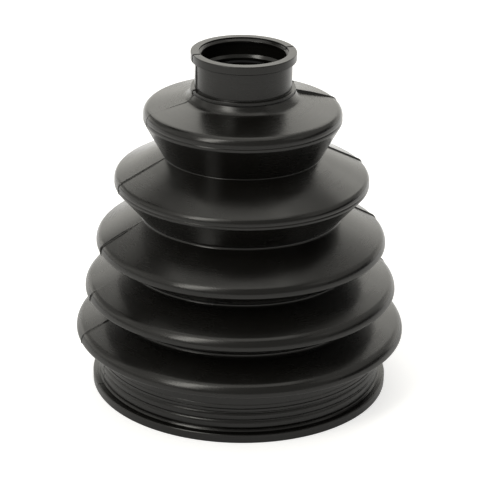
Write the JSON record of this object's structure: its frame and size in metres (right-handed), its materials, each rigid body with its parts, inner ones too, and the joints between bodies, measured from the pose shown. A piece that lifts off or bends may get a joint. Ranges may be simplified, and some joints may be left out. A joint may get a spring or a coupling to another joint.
{
  "type": "rubber bellows boot",
  "caption": "Conical rubber bellows boot with a small clamped shaft collar at the top and a ribbed large clamped collar at the base.",
  "frame": {"origin": "centre of the large end's face, on the boot's axis", "axes": "+Z along the boot's axis from the large end to the small end; the mould's parting plane is the XZ plane"},
  "size_m": [0.1008, 0.1008, 0.106],
  "materials": {
    "black_rubber": "satin"
  },
  "bodies": {
    "root": {"bellows_boot": "black_rubber"}
  },
  "joints": []
}
